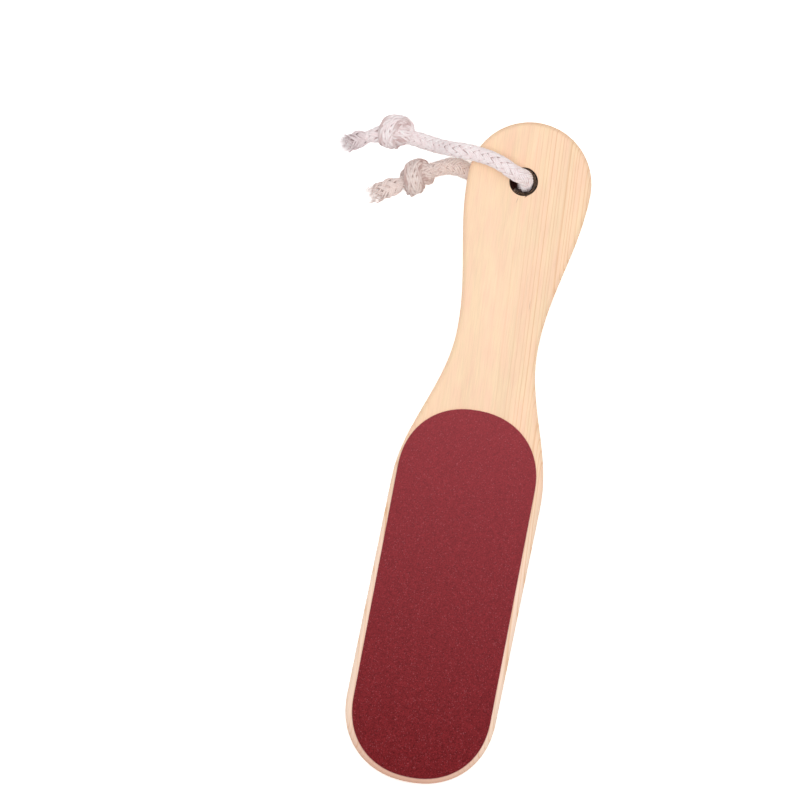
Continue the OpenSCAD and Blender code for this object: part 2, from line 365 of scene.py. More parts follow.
# %% [markdown]
# ## The paths of the yarns
# A yarn winds round the cord like the thread of a screw and dives under its neighbours. Twelve
# curves could be drawn by hand, but one formula gives them all: an angle that grows with the way
# along the cord, and a radius that swings with the crossings. Both waver a little, because no
# real braid is even.

# %% Yarn paths
YARN_MID_R, YARN_SWING = 2.08, 0.52  # mean radius of the yarns' middles, and their swing from it
PINCH_REACH = 2.4    # millimetres along the cord
# mm by which each end of a knot draws the braid in
KNOT_PINCH = ((back_out, 0.7), (back_in, 0.15), (front_in, 0.15), (front_out, 0.8))


def yarn_paths(first, last, loosen=0.0):
    """Middles of all twelve yarns between two places of the line, with the directions that lie
    outwards from it, and their radius. A yarn's angle grows with the way along the line, one way
    or the other, with a little unevenness. Its radius swings with the crossing wave and grows by
    loosen. The ends of a knot pinch the path in after that."""
    pick = slice(first, last + 1)
    way = cord_along[pick]
    number = np.arange(YARNS)[:, None]
    crossing = YARNS * cord_turn[pick] / np.pi
    right = cord_turn[pick] + 2 * np.pi * number / YARNS
    left = -cord_turn[pick] + 2 * np.pi * number / YARNS
    phase = 2.4 * np.arange(2 * YARNS)[:, None]
    uneven = np.sin(0.9 * way + phase) + np.sin(0.37 * way + 1.7 * phase)
    angle = np.concatenate([right, left]) + 0.035 * uneven
    swing = np.concatenate([crossing_wave(crossing + 2 * number),
                            -crossing_wave(2 * number - crossing)]) * (1 - cord_press[pick])
    radius = (YARN_MID_R + YARN_SWING * swing + 0.07 * np.sin(0.31 * way) + 0.03 * uneven
              + loosen)
    pinch = sum(depth * hump(way, cord_along[k], PINCH_REACH) for k, depth in KNOT_PINCH)
    outward = (np.cos(angle)[..., None] * cord_beside[pick]
               + np.sin(angle)[..., None] * cord_above[pick])
    pressed = radius - pinch + cord_swell[pick]
    return squeezed(cord_line[pick] + pressed[..., None] * outward, pick), outward, radius


print("paths of", 2 * YARNS, "yarns, between", YARN_MID_R - YARN_SWING, "and",
      YARN_MID_R + YARN_SWING, "mm from the line")

# %% [markdown]
# ## Tubes, many at once
# Yarns, threads and fibres are all thin tubes, thousands of them. A bevelled curve for each would
# be easy to edit but slow to build, so one function turns a whole array of middle lines into
# points and faces.

# %% Tubes
def tubes(centres, across, above, half_wide, half_thick, sides):
    """Closed tubes, many at once. A ring's point is its centre, plus half_wide times the cosine
    of its angle across, plus half_thick times the sine above. The end rings shrink to a point."""
    count, rings = centres.shape[:2]
    open_ring = np.ones(rings)
    open_ring[[0, -1]] = 0
    angle = np.linspace(0, 2 * np.pi, sides, endpoint=False)
    wide = (half_wide * open_ring)[..., None] * np.cos(angle)
    thick = (half_thick * open_ring)[..., None] * np.sin(angle)
    points = (centres[:, :, None] + wide[..., None] * across[:, :, None]
              + thick[..., None] * above[:, :, None])
    one = grid_faces(rings, sides, closed=True)
    faces = one[None] + (np.arange(count) * rings * sides)[:, None, None]
    return points.reshape(-1, 3), faces.reshape(-1, 4)


# %% [markdown]
# ## The plies of the yarns
# Each yarn is three plies of spun cotton that lie side by side. One fat tube would be cheaper but
# would look like plastic string. The plies are closed tubes of six sides, enough for something
# less than a millimetre wide. Each point also keeps its place in the straightened ply and its
# shade, for the cotton to read.

# %% Plies as tubes
PLIES, PLY_SIDES = 3, 6
PLY_APART, PLY_LIFT, PLY_WOBBLE = 0.65, 0.08, 0.05
PLY_HALF_WIDE, PLY_HALF_THICK = 0.4, 0.46
PLY_TWIST = 1.6      # radians a millimetre
CORE_HALF = 1.75     # radius of the dark core under the yarns
# both are painted shade: a darker colour between the yarns and inside a knot
DEEP_SHADE, KNOT_SHADE = 0.48, 0.62  # how much light is lost between yarns and inside a knot


def ply_shade(height, outward, pick):
    """Painted shade of points that far from the line: first the crown, which is 1 on top of the
    braid and less down between its yarns and where a knot hides it, and then how much darker they
    are painted in and under the handle's hole."""
    shown = eased(((outward * cord_out[pick]).sum(-1) + 0.35) / 0.95)
    deep = DEEP_SHADE * (1 - 0.6 * cord_press[pick])[:, None]
    crown = ((1 - deep * (1 - eased((height - CORE_HALF) / 1.1)))
             * (1 - KNOT_SHADE * cord_hold[pick] ** 3 * (1 - shown))[..., None])
    hole_shade = np.maximum(cord_hole_shade[pick], cord_below_shade[pick] * eased(2 * outward[..., 2]))
    hole_shade = np.broadcast_to(hole_shade[..., None], crown.shape)
    return np.stack([crown, hole_shade, 0 * crown], -1).reshape(-1, 3)


def yarn_tubes(paths, outward, radius, pick, size=1.0, apart=1.0, scatter=1.0, astray=0.0):
    """Yarns along their paths, each of plies that lie side by side across the cord's surface,
    with the middle one a little higher. Returned with them is each point's place in the
    straightened ply, round it and how far along it, and its shade. Each ply may be scattered by
    a share of its distance from the line, and led astray by an offset."""
    along = np.gradient(paths, axis=1)
    step = np.linalg.norm(along, axis=-1, keepdims=True)
    along = along / step
    above = outward - (outward * along).sum(-1, keepdims=True) * along
    above /= np.linalg.norm(above, axis=-1, keepdims=True)
    across = np.cross(along, above)
    yarns, count = paths.shape[:2]
    size = size * np.ones((yarns, PLIES, count))
    far = np.cumsum(step[..., 0], axis=1) + 37.0 * np.arange(yarns)[:, None]

    ply = (np.arange(PLIES) - (PLIES - 1) / 2)[:, None]
    wobble = np.sin(1.3 * far[:, None] + 5 * ply)
    beside = (PLY_APART * ply + PLY_WOBBLE * wobble) * size * apart
    lift = PLY_LIFT * (1 - np.abs(ply)) + PLY_WOBBLE * np.roll(wobble, 1, axis=1)
    lift = lift * size * apart
    middles = (paths[:, None] + beside[..., None] * across[:, None]
               + lift[..., None] * above[:, None] - cord_line[pick])
    middles = (cord_line[pick] + scatter * middles + astray).reshape(-1, count, 3)
    across, above, outward = (np.repeat(way, PLIES, axis=0) for way in (across, above, outward))
    size = size.reshape(-1, count)
    points, faces = tubes(middles, across, above, PLY_HALF_WIDE * size, PLY_HALF_THICK * size,
                          PLY_SIDES)

    angle = np.linspace(0, 2 * np.pi, PLY_SIDES, endpoint=False)
    far = (far[:, None] + 11 * ply).reshape(-1, count, 1)
    twist = angle + PLY_TWIST * far
    place = np.stack(np.broadcast_arrays(np.cos(twist), np.sin(twist), far), -1)
    height = (radius[:, None] + lift).reshape(far.shape)
    height = height + (PLY_HALF_THICK * size)[..., None] * np.sin(angle)
    return points, faces, place.reshape(-1, 3), ply_shade(height, outward, pick)


print(2 * YARNS * PLIES, "plies,", 2 * PLY_HALF_WIDE, "by", 2 * PLY_HALF_THICK, "mm")

# %% [markdown]
# ## Loose fibres
# Cotton is never smooth: short fibres stand off the yarns and soften the outline. Blender's hair
# could grow them, but the exported model wants plain meshes, so each fibre is a thin
# three-sided tube on a curved path. A real fibre is about 0.02 mm thick. These are drawn up to
# 0.07 mm thick, so that they show at all.

# %% Fibres on the yarns
FIBRE_HALF = 0.035
FIBRE_ROOT = 2.7            # how far from the line they start
FIBRE_LONG = (0.6, 1.9)
rng = np.random.default_rng(7)


def thin_tubes(paths, half, sides=3):
    """Thin tubes that taper towards their tips, to three tenths of half. Their place runs on by
    three millimetres along each, and their shade is that of a crown."""
    along = np.gradient(paths, axis=1)
    along /= np.linalg.norm(along, axis=-1, keepdims=True)
    across = np.cross(along, (0.31, 0.52, 0.79))
    across /= np.linalg.norm(across, axis=-1, keepdims=True)
    taper = half * np.linspace(1, 0.3, paths.shape[1]) * np.ones(paths.shape[:2])
    points, faces = tubes(paths, across, np.cross(along, across), taper, taper, sides)
    far = np.broadcast_to(np.linspace(0, 3, paths.shape[1])[None, :, None],
                          (*paths.shape[:2], sides)).reshape(-1)
    far = far + np.repeat(np.arange(len(paths)), sides * paths.shape[1])
    place = np.stack([0 * far, 0 * far, far], -1)
    return points, faces, place, np.ones_like(place) * (1, 0, 0)


def loose_fibres(first, last, per_mm):
    """Fibres that start on the braid's surface and curl away: a fibre's point is its root, plus
    a lean along the surface, plus a rise that bends back, each growing along the fibre."""
    count = int(per_mm * (cord_along[last] - cord_along[first]))
    place = rng.integers(first, last, count)
    angle = rng.uniform(0, 2 * np.pi, count)
    outward = (np.cos(angle)[:, None] * cord_beside[place]
               + np.sin(angle)[:, None] * cord_above[place])
    around = np.cross(cord_dir[place], outward)
    lean = (rng.uniform(-1, 1, (count, 1)) * cord_dir[place]
            + rng.uniform(-1, 1, (count, 1)) * around)
    t = np.linspace(0, 1, 6)[None, :, None]
    long = rng.uniform(*FIBRE_LONG, (count, 1, 1))
    root = cord_line[place] + FIBRE_ROOT * outward
    paths = (root[:, None] + long * t * (0.8 * lean[:, None])
             + long * (0.75 * t - 0.45 * t ** 2) * outward[:, None])
    hold, out = cord_hold[place][:, None, None], cord_out[place][:, None]
    offset = paths - cord_line[place][:, None]
    paths = paths + hold * (offset * out).sum(-1, keepdims=True) * out * (SQUEEZE_THICK - 1)
    points, faces, along_fibre, shade = thin_tubes(paths, FIBRE_HALF)
    shade[:, 1] = np.repeat(np.maximum(cord_hole_shade, cord_below_shade)[place], len(shade) // count)
    return points, faces, along_fibre, shade


print("fibres", FIBRE_LONG, "mm long, up to", 2 * FIBRE_HALF, "mm thick")

# %% [markdown]
# ## Cord, knots and what is inside
# Each stretch of the braid becomes one piece: its yarns, a core that stops light between them,
# and its loose fibres. All stretches are cut from one braid, so the yarns run on from the cord
# into the knot.

# %% Build the braided stretches
CORE_SIDES = 12
PIECE_OVERLAP = 3    # line steps by which one stretch runs into the next
TABLE_GAP = 0.02     # nothing lies lower than this, or it would share the floor's plane


def core_tube(first, last, size=CORE_HALF):
    """A plain tube along the line under the yarns, as wide as size says at each point."""
    pick = slice(first, last + 1)
    size = size * np.ones((1, last - first + 1))
    points, faces = tubes(cord_line[None, pick], cord_beside[None, pick], cord_above[None, pick],
                          size, size, CORE_SIDES)
    ring = squeezed(points.reshape(-1, CORE_SIDES, 3).transpose(1, 0, 2), pick)
    points = ring.transpose(1, 0, 2).reshape(-1, 3)
    # the core is painted in the shade that lies deep between the yarns, and darker in and under
    # the hole
    hole_shade = np.repeat(np.maximum(cord_hole_shade, cord_below_shade)[pick], CORE_SIDES)
    shade = np.stack([np.full_like(hole_shade, 1 - DEEP_SHADE), hole_shade, 0 * hole_shade], 1)
    return points, faces, points * (1, 1, 0), shade


def cotton_piece(name, parts):
    """Tubes as one mesh that lies on the table, with their fields."""
    points, faces = joined([part[:2] for part in parts])
    points[:, 2] = np.maximum(points[:, 2], TABLE_GAP)
    return make_piece(name, points * MM, faces,
                      fields={"yarn_place": np.concatenate([part[2] for part in parts]),
                              "yarn_shade": np.concatenate([part[3] for part in parts])})


def braid_piece(name, first, last, per_mm):
    """One stretch of the cord as a single mesh, which runs a little into its neighbours, with
    some loose fibres a millimetre."""
    first, last = first - PIECE_OVERLAP, last + PIECE_OVERLAP
    pick = slice(first, last + 1)
    yarns = yarn_tubes(*yarn_paths(first, last), pick, ply_spread[pick], ply_spread[pick])
    return cotton_piece(name, [yarns, core_tube(first, last), loose_fibres(first, last, per_mm)])


braid_back = braid_piece("braided_cord_back", back_in, at_hole, 9)
braid_front = braid_piece("braided_cord_front", at_hole, front_in, 9)
knot_back = braid_piece("overhand_knot_back", back_out, back_in, 7)
knot_front = braid_piece("overhand_knot_front", front_in, front_out, 7)

# %% [markdown]
# ## Threads and fibres that come loose
# Past its knot each end of the cord has come undone: the yarns open into their threads, and the
# threads into a soft tuft of fibres. A particle system could do it. Here each thread and fibre
# is a curve whose distance from its yarn grows with the way from the knot, so the tuft opens by
# itself.

# %% Shed threads and fibres
def wander(shape, share, size):
    """A smooth wobble that grows along each path: three sine waves with random directions and
    phases, times size and the share squared."""
    waves = rng.normal(0, 1, (3, *shape, 1, 3))
    phase = rng.uniform(0, 2 * np.pi, (3, *shape, 1, 1))
    order = np.arange(2, 5).reshape(3, *([1] * len(shape)), 1, 1)
    wave = (waves * np.sin(order * np.pi * share[:, None] + phase) / order).sum(0)
    return size * share[:, None] ** 2 * wave


def shed(paths, outward, line, end_way, number, long, spread, steps):
    """Strands that leave the yarns: each starts at a random place, follows its yarn at its own
    depth in the tuft, drifts away with the power of 1.5 of its own share, and runs past the
    line's end where it is long enough. Returns number strands for each yarn."""
    yarns, count = paths.shape[:2]
    root = rng.uniform(0.4, 0.85, (yarns, number)) * count
    t = np.linspace(0, 1, steps)
    reach = long[0] + (long[1] - long[0]) * rng.random(root.shape) ** 1.4
    place = root[..., None] + reach[..., None] / LINE_STEP * t
    pick = np.minimum(place.astype(int), count - 1)
    past = np.maximum(place - (count - 1), 0)[..., None] * LINE_STEP
    depth = np.sqrt(rng.uniform(0.02, 1, root.shape))[..., None, None]
    own = paths[np.arange(yarns)[:, None, None], pick]
    away = outward[np.arange(yarns)[:, None, None], pick]
    lean = rng.normal(0, spread, (*root.shape, 1, 3)) + 0.6 * spread * away
    around = rng.uniform(-0.8, 0.8, (*root.shape, 1, 1)) * np.cross(away, end_way)
    strands = (line[pick] + depth * (own - line[pick]) + past * end_way + around
               + t[:, None] ** 1.5 * lean * (root / count)[..., None, None] ** 2
               + wander(root.shape, t, 0.5 * spread))
    return strands.reshape(-1, steps, 3)


# %% [markdown]
# ## Frayed ends
# The tail's yarns slacken and end one by one among the threads and fibres that they shed. A brush
# of straight hairs would be quicker, but the yarns have to run on from the knot and vanish in
# the tuft. So they are the same yarns, with a radius that grows and a thickness that shrinks.

# %% Build the frayed ends
THREADS = dict(number=4, long=(1.5, 4.0), spread=0.9, steps=14)   # of each yarn, in millimetres
FIBRES = dict(number=20, long=(2.0, 9.0), spread=1.5, steps=9)
THREAD_HALF, THREAD_SIDES, FRAY_HALF = 0.1, 6, 0.022


def frayed_end(name, first, last, flip):
    """Yarns that open out from the braid: a yarn's radius grows with the share of the way from
    the knot, and its plies drift apart, some of them inwards, until each ends at a place of its
    own among threads and fibres. An end that lies before its knot on the line is flipped."""
    step = -1 if flip else 1
    pick = slice(first, last + 1)
    share = np.linspace(0, 1, last - first + 1)
    loosen = 0.9 * eased(share / 0.4) + 0.3 * eased((share - 0.4) / 0.4)
    paths, outward, radius = yarn_paths(first, last, loosen[::step])
    plies = (len(paths), PLIES)
    ends = rng.uniform(0.62, 0.95, (*plies, 1))
    fill = rng.uniform(0.45, 1.1, (*plies, 1))
    scatter = 1 - (1 - fill) * eased((share - 0.2) / 0.6)
    astray = wander(plies, share, 0.6)
    yarns = yarn_tubes(paths, outward, radius, pick, eased((ends - share) / 0.4)[..., ::step],
                       (1 + 0.5 * eased((share - 0.3) / 0.7))[::step],
                       scatter[..., ::step, None], astray[:, :, ::step])
    core = (CORE_HALF + 0.6 * loosen) * eased((0.8 - share) / 0.4)
    shedding = (paths[:, ::step], outward[:, ::step], cord_line[pick][::step],
                step * cord_dir[first if flip else last])
    threads = shed(*shedding, **THREADS)
    fibres = shed(*shedding, **FIBRES)
    return cotton_piece(name, [yarns, thin_tubes(threads, THREAD_HALF, THREAD_SIDES),
                               thin_tubes(fibres, FRAY_HALF),
                               core_tube(first, last, core[::step])])


tuft_back = frayed_end("frayed_tuft_back", 0, back_out, flip=True)
tuft_front = frayed_end("frayed_tuft_front", front_out, cord_end, flip=False)

# %% [markdown]
# ## Where the wood lies
# The paddle has a frame of its own, with its middle at half its length and thickness. It lies a
# little tilted, because its handle rests on the cord. One helper turns that frame's points into
# the model's frame. The sizes, in millimetres, repeat the part's own.

# %% Sizes of the paddle
PADDLE_LENGTH, PADDLE_THICK = 260.0, 11.0
BLADE_WIDTH, HANDLE_WIDTH, NECK_WIDTH = 58.8, 48.0, 32.2
NECK_FROM_TIP, BLADE_FROM_TIP, EDGE_ROUND = 85.0, 146.0, 2.0
END_SQUARENESS = 2.17  # 2 would make the blade's end a half circle
HOLE_D, HOLE_FROM_TIP, HOLE_LEFT, HOLE_EASE = 10.4, 23.5, 2.4, 0.6
SHEET_LENGTH, SHEET_MARGIN = 144.5, 2.4
FINE_TURN, FINE_LEFT, FINE_DOWN = math.radians(0.8), 0.4, 0.4
GLUE_THICK, PAPER_THICK, FINE_THICK, COARSE_THICK = 0.15, 0.35, 0.3, 0.5
HANDLE_LIFT = 6.8

half_length, half_thick = PADDLE_LENGTH / 2, PADDLE_THICK / 2
blade_r, handle_r, neck_r = BLADE_WIDTH / 2, HANDLE_WIDTH / 2, NECK_WIDTH / 2
hole = np.array([-HOLE_LEFT, half_length - HOLE_FROM_TIP])
sheet_r = blade_r - SHEET_MARGIN
sheet_tip_y = blade_r - half_length - sheet_r
coarse_stack = half_thick + GLUE_THICK + PAPER_THICK + COARSE_THICK
lie_angle = math.asin((HANDLE_LIFT + half_thick - coarse_stack) / (hole[1] - sheet_tip_y))
lie_height = coarse_stack * math.cos(lie_angle) - sheet_tip_y * math.sin(lie_angle)


def laid(points):
    """Points of the paddle's frame in millimetres as points of the model's frame in metres: they
    are turned by the tilt about the axis across the paddle, and raised."""
    cos, sin = math.cos(lie_angle), math.sin(lie_angle)
    x, y, z = points.T
    return np.stack([x, y * cos - z * sin, y * sin + z * cos + lie_height], 1) * MM


wood_low, wood_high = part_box("wooden_paddle")
print("tilt in degrees", round(math.degrees(lie_angle), 4),
      "wood box in mm", [round(v / MM, 2) for v in (*wood_low, *wood_high)])

# %% [markdown]
# ## The outline
# The paddle was cut from a board with a router: a round end, a neck that flows in and out again
# along half a cosine wave, straight sides and a second round end. The edge's direction outwards
# is kept with each point, because the rounded edge and the inset rings are drawn along it.

# %% Outline of the paddle
def powered(value, power):
    """A power of the size of each value, with the value's own sign."""
    return np.sign(value) * np.abs(value) ** power


def side_arc(radius, middle_y, start, end, count, squareness=2.0):
    """A round end: the cosine and sine of an angle that runs from start to end, in degrees, both
    raised to the power of 2 over the squareness. It faces along them raised to 2 minus that."""
    angle = np.radians(np.linspace(start, end, count))
    turn = np.stack([np.cos(angle), np.sin(angle)], 1)
    out = powered(turn, 2 - 2 / squareness)
    return (radius * powered(turn, 2 / squareness) + (0, middle_y),
            out / np.linalg.norm(out, axis=1, keepdims=True))


def side_flow(from_r, to_r, from_y, to_y, count):
    """A flowing side: the half width is the mean of two radii, plus half their difference times
    the cosine of half a turn. It faces square to its own slope."""
    share = np.linspace(0, 1, count)
    swing = (from_r - to_r) / 2
    x = (from_r + to_r) / 2 + swing * np.cos(np.pi * share)
    slope = -swing * np.sin(np.pi * share) * np.pi / (to_y - from_y)
    out = np.stack([np.ones(count), -slope], 1)
    return (np.stack([x, from_y + (to_y - from_y) * share], 1),
            out / np.linalg.norm(out, axis=1, keepdims=True))


neck_y, blade_y = half_length - NECK_FROM_TIP, half_length - BLADE_FROM_TIP
handle_end_y, blade_end_y = half_length - handle_r, blade_r - half_length
side_parts = [
    side_arc(handle_r, handle_end_y, 90, 0, 49),
    side_flow(handle_r, neck_r, handle_end_y, neck_y, 57),
    side_flow(neck_r, blade_r, neck_y, blade_y, 57),
    side_flow(blade_r, blade_r, blade_y, blade_end_y, 25),
    side_arc(blade_r, blade_end_y, 0, -90, 57, END_SQUARENESS)]
side = np.concatenate([part[0][(i > 0):] for i, part in enumerate(side_parts)])
side_out = np.concatenate([part[1][(i > 0):] for i, part in enumerate(side_parts)])
mirror = np.array([-1, 1])
outline = np.concatenate([side, side[-2:0:-1] * mirror])
outline_out = np.concatenate([side_out, side_out[-2:0:-1] * mirror])
print("outline", len(outline), "points, widest in mm", round(2 * side[:, 0].max(), 2))

# %% [markdown]
# ## The wooden paddle: edge and faces
# The board could be a flat shape with a Bevel modifier, but the hole would disturb its faces.
# It is put together from grids instead. The first are a band round the edge, whose profile is two
# quarter circles, and strips across each face.

# %% Edge band and strips
EDGE_STEPS = 12
EDGE_SUPPORT = 0.25  # a narrow flat ring that keeps the face's shading flat
ACROSS = 20
HOLE_BAND = 11.0     # the web round the hole ends this far below its middle


def ring_at(inset, height):
    """The outline drawn in by inset, at a height."""
    flat = outline - outline_out * inset
    return np.column_stack([flat, np.full(len(flat), height)])


face_inset = EDGE_ROUND + EDGE_SUPPORT
quarter = np.linspace(0, np.pi / 2, EDGE_STEPS + 1)
insets = np.concatenate([[face_inset], EDGE_ROUND * (1 - np.sin(quarter))])
heights = np.concatenate([[0], EDGE_ROUND * (1 - np.cos(quarter))]) - half_thick
profile = list(zip(insets, heights)) + list(zip(insets[::-1], -heights[::-1]))
edge_band = (np.concatenate([ring_at(*row) for row in profile]),
             grid_faces(len(profile), len(outline), closed=True))

face_right = side - side_out * face_inset
first_row = int(np.argmax(face_right[:, 1] < hole[1] - HOLE_BAND))
share_across = np.linspace(-1, 1, ACROSS + 1)


def face_strips(height):
    """A face below the hole: each row runs from the left edge to the right one."""
    rows = face_right[first_row:]
    x = rows[:, :1] * share_across
    y = np.broadcast_to(rows[:, 1:], x.shape)
    points = np.stack([x, y, np.full_like(x, height)], -1)
    return points.reshape(-1, 3), grid_faces(len(rows), ACROSS + 1)


print("edge band of", len(profile), "rings, strips of", len(side) - first_row, "rows")

# %% [markdown]
# ## The wooden paddle: hole and bore
# The drill left a round hole with an eased and slightly torn rim. A Boolean would cut it in one
# step, but with long thin faces that shade badly. A web of quads from the rim out to the edge
# of the handle keeps the face even, and the bore is a ring carried down through the wood.

# %% Web, bore and paddle
TEARS = ((5, 0.05, 1), (11, 0.04, 0), (23, 0.05, 2))    # waves round the rim, size, phase
CHIPS = ((-1.07, 0.28, 0.07), (0.75, 0.2, 0.06))        # direction, size, reach in radians
WEB_SHARES = np.array([0, 0.06, 0.3, 0.65, 1])[:, None, None]
BORE_STRAIGHT = 4    # the straight part of the bore reaches this far up and down

top_side = face_right[:first_row + 1]
web_edge = np.concatenate([
    top_side, np.stack([top_side[-1, 0] * share_across[-2:0:-1],
                        np.full(ACROSS - 1, top_side[-1, 1])], 1),
    top_side[:0:-1] * mirror])
web_angle = np.arctan2(*(web_edge - hole).T[::-1])


def rim_radius(radius):
    """The drilled hole's radius round its rim, a little torn where the drill met the grain: sine
    waves round it, plus a soft bump for each chip."""
    torn = sum(size * np.sin(waves * web_angle + phase) for waves, size, phase in TEARS)
    chips = sum(size * hump(np.angle(np.exp(1j * (web_angle - way))), 0, reach)
                for way, size, reach in CHIPS)
    return radius + torn + chips


def web_ring(radius, height):
    """The hole's ring at a radius, with one point in the direction of each point of the web's
    outer edge."""
    return np.column_stack([hole[0] + radius * np.cos(web_angle),
                            hole[1] + radius * np.sin(web_angle),
                            np.full(len(web_angle), height)])


def web_face(height):
    """The face round the hole: rings that go straight from its rim to the web's outer edge."""
    inner = web_ring(rim_radius(HOLE_D / 2 + HOLE_EASE), height)
    outer = np.column_stack([web_edge, np.full(len(web_edge), height)])
    points = inner + (outer - inner) * WEB_SHARES
    return points.reshape(-1, 3), grid_faces(len(WEB_SHARES), len(web_edge), closed=True)


bore_rows = [(rim_radius(HOLE_D / 2 + HOLE_EASE * (1 - np.sin(a))),
              half_thick - HOLE_EASE * (1 - np.cos(a))) for a in np.linspace(0, np.pi / 2, 6)]
below = [(radius, -z) for radius, z in bore_rows[::-1]]
bore_rows += [(rim_radius(HOLE_D / 2), z) for z in np.linspace(BORE_STRAIGHT, -BORE_STRAIGHT, 7)]
bore_rows += below
bore = (np.concatenate([web_ring(*row) for row in bore_rows]),
        grid_faces(len(bore_rows), len(web_edge), closed=True))

points, faces = joined([edge_band, face_strips(half_thick), face_strips(-half_thick),
                        web_face(half_thick), web_face(-half_thick), bore])
paddle = make_piece("pine_paddle", laid(points), faces)

# %% [markdown]
# ## The sheets' outline and their grains
# Abrasive paper is grit set in resin on a paper backing. Bump in a material would vanish at the
# edge and in the exported model, so the grit is geometry: rings drawn in from the sheet's
# outline, lifted by a random height for each grain.

# %% Sheet outline and grain heights
GRIT_STEP = 0.35
LATTICE = 512        # entries each way in the table of heights
LATTICE_START = 900  # keeps the counting of entries above zero
sheet_reach = SHEET_LENGTH / 2 - sheet_r
sheet_middle_y = sheet_tip_y + SHEET_LENGTH / 2


def stadium(step):
    """The middle line and the outward directions of a long shape with two round ends. A point at
    radius r is its middle plus r times its direction."""
    far_end, _ = side_arc(1.0, 0.0, 0, 180, round(np.pi * sheet_r / step) + 1, END_SQUARENESS)
    run = np.linspace(sheet_reach, -sheet_reach, round(2 * sheet_reach / step) + 1)[1:-1]
    out = np.concatenate([far_end, np.tile([-1.0, 0], (len(run), 1)),
                          -far_end, np.tile([1.0, 0], (len(run), 1))])
    y = np.concatenate([np.full(len(far_end), sheet_reach), run,
                        np.full(len(far_end), -sheet_reach), run[::-1]])
    return np.stack([0 * y, y], 1), out


def grain_heights(x, y, cell, seed):
    """Random heights between 0 and 1: a table of random numbers on a lattice of that cell,
    read between its four nearest entries."""
    table = np.random.default_rng(seed).random((LATTICE, LATTICE))
    u, v = x / cell + LATTICE_START, y / cell + LATTICE_START
    i, j = np.floor(u).astype(int), np.floor(v).astype(int)
    s, t = u - i, v - j
    i, j, right, up = i % LATTICE, j % LATTICE, (i + 1) % LATTICE, (j + 1) % LATTICE
    return ((table[i, j] * (1 - s) + table[right, j] * s) * (1 - t)
            + (table[i, up] * (1 - s) + table[right, up] * s) * t)


print("sheets", round(SHEET_LENGTH, 1), "by", round(2 * sheet_r, 1), "mm")

# %% [markdown]
# ## The abrasive faces
# The fine side has small low grains, and the coarse side big sharp ones with flat facets that
# glint. One function makes both, because only their sizes and the shading of their facets differ.

# %% Build the grit
GRIT_INSET = 0.15    # the cut edge of the backing shows this much round the grit
GRIT_BEVEL = 0.12    # how far in from the side the flat top begins
SIDE_RISE = 0.55     # share of the thickness at which the side is bent
RAGGED, RAGGED_CELL = 0.1, 0.6       # how uneven the cut side is, and over what length


def grit_piece(name, base_z, top_z, glued, cell, rough, seed, smooth):
    """One layer of grit from its base to its top. Rings run from the base's edge up the side and
    in to the middle line, and the flat top is lowered by rough times one minus the grain. glued
    is how far its sheet was turned and moved to the left and down."""
    middle, out = stadium(GRIT_STEP)
    edge = sheet_r - GRIT_INSET
    sign = np.sign(top_z - base_z)
    thick = abs(top_z - base_z)
    radii = np.concatenate([[0, edge, edge],
                            np.linspace(edge - GRIT_BEVEL, 0, round(edge / GRIT_STEP))])
    lift = np.concatenate([[0, 0, SIDE_RISE * thick], np.full(len(radii) - 3, thick)])
    flat = middle + radii[:, None, None] * out
    x, y = flat[..., 0], flat[..., 1]
    grain = (0.65 * grain_heights(x, y, cell, seed)
             + 0.35 * grain_heights(x, y, cell / 2.3, seed + 1))
    grain = np.clip((grain - 0.2) / 0.6, 0, 1)
    drop = rough * (1 - grain) * (lift > 0)[:, None]
    z = base_z + sign * (lift[:, None] - drop)
    ragged = RAGGED * (grain_heights(x, y, RAGGED_CELL, seed + 2) - 0.5)
    ragged = ragged * ((lift > 0) & (radii > 0))[:, None]
    x, y = x + ragged * out[:, 0], y + ragged * out[:, 1]
    turn, left, down = glued
    cos, sin = math.cos(turn), math.sin(turn)
    points = np.stack([x * cos - y * sin - left,
                       x * sin + y * cos + sheet_middle_y - down, z], -1)
    return make_piece(name, laid(points.reshape(-1, 3)),
                      grid_faces(len(radii), len(out), closed=True), smooth, weld=0.0005 * MM)


fine_top = half_thick + GLUE_THICK + PAPER_THICK + FINE_THICK
fine_face = grit_piece("fine_grit_face", fine_top - FINE_THICK, fine_top,
                       (FINE_TURN, FINE_LEFT, FINE_DOWN), cell=0.42, rough=0.1, seed=11,
                       smooth=True)
coarse_face = grit_piece("coarse_grit_face", COARSE_THICK - coarse_stack, -coarse_stack,
                         (0, 0, 0), cell=0.62, rough=0.3, seed=23, smooth=False)

# %% [markdown]
# ## Colours and the node helper
# Colours are written as sRGB hex values, and Blender's shaders want linear light, so one function
# turns the first into the second. Nodes could be wired one line at a time. One small function
# adds a node with its settings and links instead, so that a line of code reads like a formula.
# Every pattern's scale comes from a real size in millimetres.

# %% Colour and node helpers
def linear(code):
    """sRGB hex to linear: each channel is divided by 12.92 when dark, and otherwise raised to
    the power of 2.4 after a small offset."""
    srgb = np.array([int(code[i:i + 2], 16) / 255 for i in (1, 3, 5)])
    light = np.where(srgb <= 0.04045, srgb / 12.92, ((srgb + 0.055) / 1.055) ** 2.4)
    return (*light.tolist(), 1.0)


def feed(tree, node, inputs):
    """Gives a node's sockets a value, another node's output, or a whole node, whose first output
    in use is meant. Where inputs isn't a dict, it counts the sockets from the first."""
    for key, value in inputs.items() if isinstance(inputs, dict) else enumerate(inputs):
        if isinstance(value, bpy.types.Node):
            value = next(output for output in value.outputs if output.enabled)
        if isinstance(value, bpy.types.NodeSocket):
            tree.links.new(value, node.inputs[key])
        else:
            node.inputs[key].default_value = value


